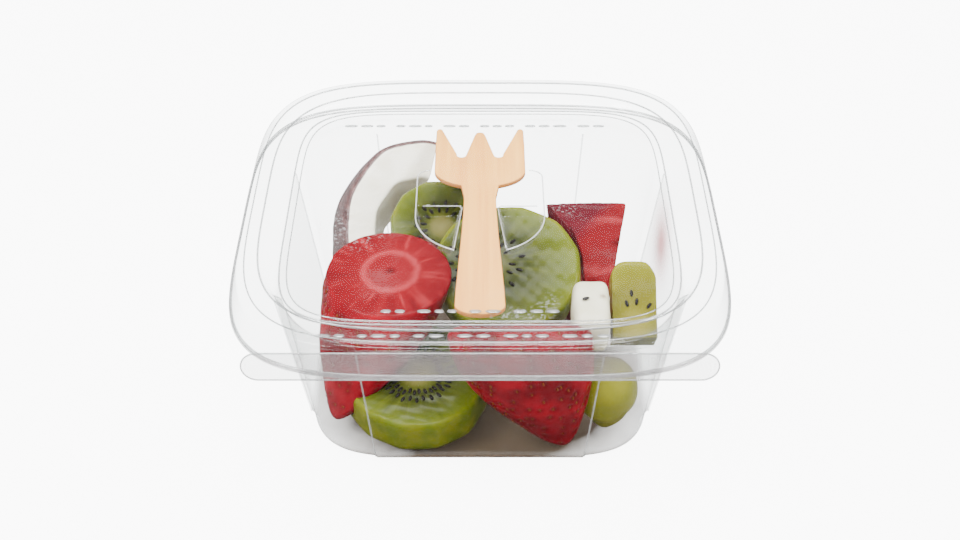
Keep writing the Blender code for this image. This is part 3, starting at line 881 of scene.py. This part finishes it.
kiwiColours = {"face": ((0.0, (0.150, 0.130, 0.036)), (0.17, (0.120, 0.110, 0.024)),
                        (0.27, (0.050, 0.055, 0.003)), (0.38, (0.020, 0.025, 0.001)),
                        (0.50, (0.022, 0.028, 0.001)), (0.66, (0.042, 0.050, 0.001)),
                        (0.85, (0.062, 0.078, 0.001)), (1.0, (0.100, 0.116, 0.003))),
               "paleRay": (0.078, 0.092, 0.004), "darkRay": (0.020, 0.028, 0.001),
               "peel": ((0.075, 0.095, 0.001), (0.120, 0.125, 0.003)), "fibre": (0.130, 0.138, 0.008),
               "warm": (0.22, 0.19, 0.012), "seed": (0.006, 0.004, 0.003)}


# Kiwi flesh. "core" is 0 at the slice's middle and 1 at its rim, "rays" turns with the angle round it,
# "side" is 1 on the peeled side and "seed" is 1 on the seeds; warm is the share of a yellower colour.
def kiwiLook(name, warm):
    look, colours = Look(name), kiwiColours
    point = look.objectPoint
    core, side, seed = (look.value(key) for key in ("core", "side", "seed"))
    rays = look.noise(look.vector("rays"), 1.0, 4.0, 0.6)
    fine = look.noise(point, 700.0, 3.0)
    blotch = look.noise(point, 110.0, 2.0)
    face = look.ramp(core + (rays - 0.5) * 0.10, colours["face"])
    band = core.step(0.2, 0.34) * (1 - core.step(0.8, 1.0))
    face = look.mix(rays.step(0.50, 0.68) * band * 0.5, face, colours["paleRay"])
    face = look.mix(rays.step(0.46, 0.30) * band * 0.55, face, colours["darkRay"])
    peel = look.mix(blotch.step(0.4, 0.65), *colours["peel"])
    peel = look.mix(fine.step(0.45, 0.7) * 0.25, peel, colours["fibre"])
    colour = look.mix(side, face, peel)
    colour = look.mix(warm, colour, colours["warm"])
    colour = look.mix(seed, colour, colours["seed"])
    shader = look.principled(Base_Color=colour, Roughness=0.26 + fine * 0.14, Subsurface_Weight=0.2,
                             Subsurface_Radius=(0.6, 1.0, 0.25), Subsurface_Scale=0.003, Coat_Weight=0.06,
                             Specular_IOR_Level=0.08, Coat_Roughness=0.08,
                             Normal=look.bump(rays * 0.6 + fine * 0.4, 0.22, 0.0004))
    return look.done(shader)


sliceDetail = {"cols": 220, "faceRows": 46, "sideRows": 23, "lip": 1.2, "bulge": 1.8, "knife": 0.9,
               "waves": ((0.22, 11), (0.12, 4)), "rays": 9, "rayDepth": 0.9, "sink": 0.3, "cover": 0.35,
               "leave": 0.8, "seedSize": (0.55, 1.15, 0.35), "seedRing": 0.36, "ringGap": 0.13,
               "seedClear": 1.5}


# A peeled slice: a profile from the middle of one face out, round the bulging side and back to the middle of
# the other, turned about the slice's axis, with knife facets of |sin| on the side and seeds in two rings.
# Keep is a function that trims points, under is the rule of a berry that presses the upper face down, and
# shift is how far the pattern's middle lies from the slice's.
def makeSlice(name, centre, facing, radius, thick, look, seed, seedCount, squash=0.95, keep=None,
              shift=(0.0, 0.0), under=None):
    size, source = sliceDetail, np.random.default_rng(seed)
    turn, centre = turnTo(facing), np.array(centre, float)
    cols, lip = size["cols"], radius - size["lip"]
    angle = 2 * np.pi * np.arange(cols) / cols
    face = np.linspace(0.02, 1, size["faceRows"]) ** 0.9
    lap = np.radians(np.linspace(90, -90, size["sideRows"]))[1:-1]
    reach = np.concatenate([face * lip, lip + size["bulge"] * np.cos(lap), (face * lip)[::-1]])
    height = np.concatenate([np.full(len(face), 0.5), 0.5 * signedPower(np.sin(lap), 0.45),
                             np.full(len(face), -0.5)]) * thick
    sideways = np.concatenate([np.zeros(len(face)), np.ones(len(lap)), np.zeros(len(face))])
    facets = 0.45 * np.abs(np.sin(angle * 6 + 1.3)) + 0.25 * np.sin(angle * 3 + seed)
    reached = reach[:, None] - facets[None, :] * ((reach / radius)[:, None] ** 3) * size["knife"]
    q = np.stack([reached * np.cos(angle), reached * squash * np.sin(angle),
                  height[:, None] * np.ones(cols)], -1)
    q = np.concatenate([q.reshape(-1, 3), [[0, 0, thick / 2], [0, 0, -thick / 2]]])
    slow, quick = (depth * wobble(q, length, seed + k) for k, (depth, length) in enumerate(size["waves"]))
    q[:, 2] += slow + quick
    eye = q[:, :2] / [1, squash] - np.array(shift)
    around = np.arctan2(eye[:, 1], eye[:, 0])
    core = np.hypot(eye[:, 0], eye[:, 1]) / (radius + 0.8 * (eye @ -np.array(shift)) / radius)
    rays = np.stack([np.cos(around) * size["rays"], np.sin(around) * size["rays"],
                     core * size["rayDepth"]], -1)
    values = {"side": np.append(np.repeat(sideways, cols), [0, 0]), "seed": np.zeros(len(q)), "core": core,
              "rays": rays}
    if keep is not None:
        q = keep(q)
    for _ in range(40 if under else 0):
        covered = (under(q @ turn.T + centre) < size["cover"]) & (q[:, 2] > -thick / 2 + size["leave"])
        q[:, 2] -= size["sink"] * covered
    flesh = (q, outward(q, closedFaces(len(reach), cols)), values)
    order = np.arange(seedCount)
    turns = 2 * np.pi * (order + source.uniform(-0.3, 0.3, seedCount)) / seedCount
    far = radius * (size["seedRing"] + size["ringGap"] * (order % 2) + source.uniform(-0.03, 0.03, seedCount))
    places = np.stack([far * np.cos(turns) + shift[0], (far * np.sin(turns) + shift[1]) * squash,
                       np.full(seedCount, thick / 2 + 0.05)], -1)
    if keep is not None:
        places = places[np.linalg.norm(keep(places * 1.15) - places * 1.15, axis=1) < 0.01]
    if under is not None:
        places = places[under(places @ turn.T + centre) > size["seedClear"]]
    axes = unit((places - np.array([*shift, 0])) * [1, 1, 0])
    seedPoints, seedFaces = seedShapes(places, np.tile(up, (len(places), 1)), axes, size["seedSize"])
    blank = np.zeros(len(seedPoints))
    dots = (seedPoints, seedFaces, {"core": blank, "side": blank, "seed": blank + 1,
                                    "rays": np.zeros((len(blank), 3))})
    points, faces, values = joined([flesh, dots])
    addPiece("slice_" + name, points @ turn.T + centre, faces, look, ["kiwi_" + name], values)


# "inner" is a grey-green painted shade, not a colour of the flesh
coconutColours = {"flesh": ((0.90, 0.86, 0.74), (0.82, 0.77, 0.62)),
                  "bark": ((0.05, 0.018, 0.018), (0.14, 0.066, 0.062)),
                  "inner": (0.30, 0.28, 0.12), "spot": (0.12, 0.05, 0.02), "seed": (0.008, 0.005, 0.004)}


# Coconut. "depth" is the distance in from the brown skin in millimetres, "spot" is 1 on a brown spot and
# "seed" is 1 on a kiwi seed that has stuck to it. Deep in, the colour is mixed towards "inner", a grey-green
# painted shade, which darkens the wedge's hollow side and the whole cube.
def coconutLook():
    look, colours = Look("coconut"), coconutColours
    point = look.objectPoint
    depth, spot, seed = (look.value(key) for key in ("depth", "spot", "seed"))
    fibre = look.noise(look.stretch(point, (260.0, 260.0, 900.0)), 1.0, 4.0, 0.65)
    soft = look.noise(point, 160.0, 4.0)
    flesh = look.mix(soft.step(0.35, 0.7), *colours["flesh"])
    bark = look.mix(fibre.step(0.35, 0.68), *colours["bark"])
    colour = look.mix((1.15 + (soft - 0.5) * 0.9 - depth).step(-0.25, 0.25), flesh, bark)
    # painted shade: flesh far from the skin is mixed towards grey-green
    colour = look.mix(depth.step(12.6, 17.0) * 0.6, colour, colours["inner"])
    colour = look.mix(spot, colour, colours["spot"])
    colour = look.mix(seed, colour, colours["seed"])
    shader = look.principled(Base_Color=colour, Roughness=0.42 + soft * 0.15, Subsurface_Weight=0.15,
                             Subsurface_Radius=(1.0, 0.9, 0.8), Subsurface_Scale=0.002, Coat_Weight=0.15,
                             Normal=look.bump(fibre * 0.6 + soft * 0.4, 0.5, 0.0006))
    return look.done(shader)


coconut = coconutLook()
wedgeSizes = {"centre": (-22.2, 28.0, 26.6), "facing": (0.36, -0.6, 0.71), "radius": 31.8,
              "thick": 13, "wide": 16, "squash": 0.8, "arc": (86, 214), "bowl": 9.0, "around": 160,
              "steps": 170, "corner": 0.16,
              "caps": (0.04, 0.3, 0.6, 0.85, 0.96)}


# A rounded rectangle, as deep as the flesh and as wide as the slice, carried along the shell's arc and
# closed at each end by shrinking rings. The flesh deepens towards one face, by a power of 1.3.
def makeWedge():
    size = wedgeSizes
    around, corner, thick = size["around"], size["corner"], size["thick"]
    turns = 2 * np.pi * (np.arange(around) + 0.5) / around
    z = size["wide"] / 2 * signedPower(np.sin(turns), corner)
    bowl = thick + size["bowl"] * (0.5 - z / size["wide"]) ** 1.3
    deep = bowl / 2 * (1 - signedPower(np.cos(turns), corner))
    arc = np.radians(np.linspace(*size["arc"], size["steps"]))
    shell = np.sqrt(size["radius"] ** 2 - z ** 2)
    reach = (shell - deep)[None, :] + 0.3 * np.sin(arc * 9)[:, None]
    q = np.stack([reach * np.cos(arc)[:, None] * size["squash"], reach * np.sin(arc)[:, None],
                  (z * (1 - 0.4 * deep / size["radius"]))[None, :] * np.ones((size["steps"], 1))], -1)
    caps = []
    for end in (0, -1):
        middle = q[end].mean(0)
        caps.append([middle + (q[end] - middle) * share for share in size["caps"]])
    q = np.concatenate([np.array(caps[0]), q, np.array(caps[1])[::-1]])
    shares = np.concatenate([size["caps"], np.ones(size["steps"]), size["caps"][::-1]])
    depth = thick / 2 + (np.tile(deep, len(q)) - thick / 2) * np.repeat(shares, around)
    points = np.concatenate([q.reshape(-1, 3), [q[0].mean(0), q[-1].mean(0)]])
    points = points + 0.15 * wobble(points, 5, 9)[:, None] * [1, 1, 0.6]
    faces = outward(points, closedFaces(len(q), around))
    blank = np.zeros(len(points))
    addPiece("coconut_slice", points @ turnTo(size["facing"]).T + np.array(size["centre"]), faces, coconut,
             ["coconut_wedge"],
             {"depth": np.append(depth, [thick / 2, thick / 2]), "spot": blank, "seed": blank})


chunkSizes = {"centre": (32.3, -30.0, 38.0), "size": (11.3, 18.7, 14.8), "tilt": 12, "power": 5, "depth": 16,
              "spot": (35.6, -30.0, 44.8), "spotWidth": 0.9, "seed": (30.6, -31.5, 45.6),
              "seedNormal": (0, -0.2, 0.98), "seedAxis": (1.0, 0.3, 0), "seedSize": (0.6, 1.2, 0.4)}


# A block with eased edges: the same power of each coordinate, added up, holds everywhere on it.
def makeChunk():
    size = chunkSizes
    centre, half, tilt = np.array(size["centre"]), np.array(size["size"]) / 2, math.radians(size["tilt"])
    turn = np.array([[1, 0, 0], [0, math.cos(tilt), -math.sin(tilt)], [0, math.sin(tilt), math.cos(tilt)]])

    def rule(p):
        q = np.abs((p - centre) @ turn) / half
        return (q ** size["power"]).sum(1) ** (1 / size["power"]) - 1

    points, way, faces = rayShape(centre, (0, 0, 1), rule, 90, 140, 30)
    points = points + way * (0.3 * wobble(points, 7, 4) - 0.25)[:, None]
    near = np.linalg.norm(points - np.array(size["spot"]), axis=1)
    spot = np.exp(-(near / size["spotWidth"]) ** 2)
    place, normal, axis = (np.array([size[key]], float) for key in ("seed", "seedNormal", "seedAxis"))
    seedPoints, seedFaces = seedShapes(place, normal, axis, size["seedSize"])
    blank, dark = np.zeros(len(points)), np.ones(len(seedPoints))
    # the cube's depth of 16 mm gives its whole surface the grey-green painted shade
    block = (points, faces, {"depth": blank + size["depth"], "spot": spot, "seed": blank})
    dot = (seedPoints, seedFaces, {"depth": dark, "spot": dark * 0, "seed": dark})
    points, faces, values = joined([block, dot])
    addPiece("coconut_cube", points, faces, coconut, ["coconut_chunk"], values)


strawberry = strawberryLook()
kiwi = kiwiLook("kiwi", 0.0)
kiwiPale = kiwiLook("kiwi pale", 0.45)

nestSizes = {"centre": (9, -14.5, 53.4), "facing": (0, -0.5, 0.87), "radius": 22.8, "squash": 0.95,
             "half": 25.4, "edge": 0.8}


# How far a point lies outside the tilted round space that the middle slice and the fork's nest leave.
def outsideSlice(p):
    size = nestSizes
    q = (p - np.array(size["centre"])) @ turnTo(size["facing"])
    across = np.hypot(q[:, 0], q[:, 1] / size["squash"]) - size["radius"]
    return roundMax(across, np.abs(q[:, 2]) - size["half"], size["edge"])


# Cuts are (point, normal) pairs; on the back berry one cut is darkened as painted shade and the other
# is left bright.
paintedShadeCut = ((17.1, 13.8, 48.5), (-0.09, -0.57, 0.82))
brightCut = ((39.2, 10.5, 48.5), (0.21, -0.76, 0.62))
berryShapes = {
    "left": {"tip": (-43, -40, 7), "crown": (-18, 2, 61), "radius": 19.7, "squash": 0.76, "spin": -31,
             "centre": (-29, -16, 28), "cuts": [((-27, -13, 42), (0, -0.1, 1))]},
    "front": {"tip": (25.5, -45.7, 2.4), "crown": (3, -36.2, 60), "radius": 21.2, "squash": 0.68, "spin": 0,
              "centre": (14, -40, 30), "cuts": [((12, -45.0, 46), (0, 0.8, 0.6)), ((0, 0, 48.3), (0, 0, 1))]},
    "back": {"tip": (0, 10, 24), "crown": (51, 4, 43), "radius": 23.4, "squash": 0.9, "spin": 0,
             "centre": (31, 5, 30), "bite": outsideSlice, "shaded": (paintedShadeCut, brightCut),
             "cuts": [paintedShadeCut, brightCut, ((45.2, 12.1, 48.5), (0.97, 0, -0.24)), ((0, 0, 49.3), (0, 0, 1)),
                      ((0, 23.5, 0), (0, 1, 0.2))]}}
berryRules = {name: makeBerry(name, **shape) for name, shape in berryShapes.items()}


# Keeps the part of the right-hand slice between two upright cuts and behind a third, its back corners
# rounded off by a fifth power.
def narrow(q):
    q = q.copy()
    q[:, 0] = np.clip(q[:, 0], -6.2, 6.8)
    q[:, 1] = np.maximum(q[:, 1], -3.8)
    q[:, 1] -= 3.2 * np.abs((q[:, 0] - 0.3) / 6.5) ** 5 * np.clip((q[:, 1] - 8) / 8, 0, 1)
    return q


sliceShapes = {
    "front": {"centre": (-19, -30.4, 11.9), "facing": (0, -0.2, 0.98), "radius": 21.2, "thick": 11.7,
              "look": kiwi, "seed": 2, "seedCount": 62, "under": berryRules["left"]},
    "middle": {"centre": (8.2, -5.4, 35.2), "facing": (0, -0.5, 0.87), "radius": 22.3, "thick": 11.5,
               "look": kiwi, "seed": 3, "seedCount": 26, "shift": (-6.5, 1.5), "under": berryRules["left"]},
    "back": {"centre": (-12, 18.5, 35), "facing": (0, -0.64, 0.77), "radius": 16.3, "thick": 11.6,
             "look": kiwi, "seed": 4, "seedCount": 30},
    "right": {"centre": (45.2, -27, 31), "facing": (0, -0.64, 0.77), "radius": 19.7, "thick": 10.7,
              "look": kiwiPale, "seed": 5, "seedCount": 26, "squash": 1.0, "keep": narrow}}
for name, shape in sliceShapes.items():
    makeSlice(name, **shape)

lumpSizes = {"low": (37.5, -37.5, 1.7), "high": (37.5, -37.0, 26.8), "tall": 25.1, "radius": 9.8, "edge": 0.8,
             "cut": ((37, -32.2, 16), (-0.2, 1, 0)), "pattern": 0.35}


# The low lump of kiwi at the front right: a swollen column, flat behind where the berry lies.
def makeLump():
    size = lumpSizes
    middle, half = (np.array(size["low"]) + np.array(size["high"])) / 2, size["tall"] / 2

    def rule(p):
        q = p - middle
        side = np.hypot(q[:, 0], q[:, 1]) - size["radius"] * berrySwell(np.clip(q[:, 2] / half, -1, 1))
        return roundMax(side, past(p, size["cut"]), size["edge"])

    points, way, faces = rayShape(middle, (0, 0, 1), rule, 110, 160, 30)
    points = points - way * (0.25 + 0.35 * wobble(points, 9, 8))[:, None]
    ones = np.ones(len(points))
    addPiece("kiwi_lump", points, faces, kiwiPale, ["kiwi_low"],
             {"core": ones, "side": ones, "seed": ones * 0, "rays": points * size["pattern"]})


makeLump()
makeWedge()
makeChunk()
print("fruit done")

studio = {"floor": (0.22, 0.22, 0.22), "backdrop": 8.5, "world": 3.8, "mirrored": 0.3, "half": 3,
          "level": -0.0004, "aim": (0, 0, 0.03),
          "lamps": (((-0.5, -0.35, 0.75), 15.0, 0.3), ((0.55, -0.2, 0.7), 10.5, 0.25),
                    ((0.0, 0.1, 1.0), 19.5, 0.45)),
          "lens": 62.025, "sensor": 36.0, "camera": (0.0, -0.4161, 0.330), "tilt": 54.5}


# A grey floor that only the camera sees as white.
def makeFloor():
    far, level = studio["half"], studio["level"]
    mesh = bpy.data.meshes.new("floor")
    corners = [(-far, -far, level), (far, -far, level), (far, far, level), (-far, far, level)]
    mesh.from_pydata(corners, [], [(0, 1, 2, 3)])
    floor = bpy.data.objects.new("floor", mesh)
    bpy.context.scene.collection.objects.link(floor)
    look = Look("floor")
    seen = look.add("LightPath", {}, {}, "Is Camera Ray")
    shader = look.principled(Base_Color=studio["floor"], Roughness=0.7, Emission_Color=(1, 1, 1),
                             Emission_Strength=seen * studio["backdrop"])
    mesh.materials.append(look.done(shader))


# A white surrounding with one strength for light, one for mirrored rays and one for what the camera sees.
def makeWorld():
    world = bpy.data.worlds.new("studio")
    world.use_nodes = True
    nodes, links = world.node_tree.nodes, world.node_tree.links
    nodes["Background"].inputs["Color"].default_value = (1, 1, 1, 1)
    path = nodes.new("ShaderNodeLightPath")
    before = None
    for kind, strength in (("Is Glossy Ray", studio["mirrored"]), ("Is Camera Ray", studio["backdrop"])):
        share = nodes.new("ShaderNodeMix")
        share.inputs["A"].default_value = studio["world"]
        share.inputs["B"].default_value = strength
        links.new(path.outputs[kind], share.inputs["Factor"])
        if before:
            links.new(before, share.inputs["A"])
        before = share.outputs["Result"]
    links.new(before, nodes["Background"].inputs["Strength"])
    bpy.context.scene.world = world


# Square lamps turned to the pack, and the camera.
def makeLights():
    for index, (place, power, wide) in enumerate(studio["lamps"]):
        lamp = bpy.data.lights.new("softbox", "AREA")
        lamp.shape, lamp.size, lamp.energy = "SQUARE", wide, power
        holder = bpy.data.objects.new("softbox%d" % index, lamp)
        holder.location = place
        holder.rotation_euler = (Vector(studio["aim"]) - Vector(place)).to_track_quat("-Z", "Y").to_euler()
        bpy.context.scene.collection.objects.link(holder)
    eye = bpy.data.cameras.new("camera")
    eye.lens, eye.sensor_width, eye.clip_start = studio["lens"], studio["sensor"], 0.01
    camera = bpy.data.objects.new("camera", eye)
    camera.location = studio["camera"]
    camera.rotation_euler = (math.radians(studio["tilt"]), 0.0, 0.0)
    bpy.context.scene.collection.objects.link(camera)
    bpy.context.scene.camera = camera


makeFloor()
makeWorld()
makeLights()
print("studio done")
bpy.context.view_layer.update()
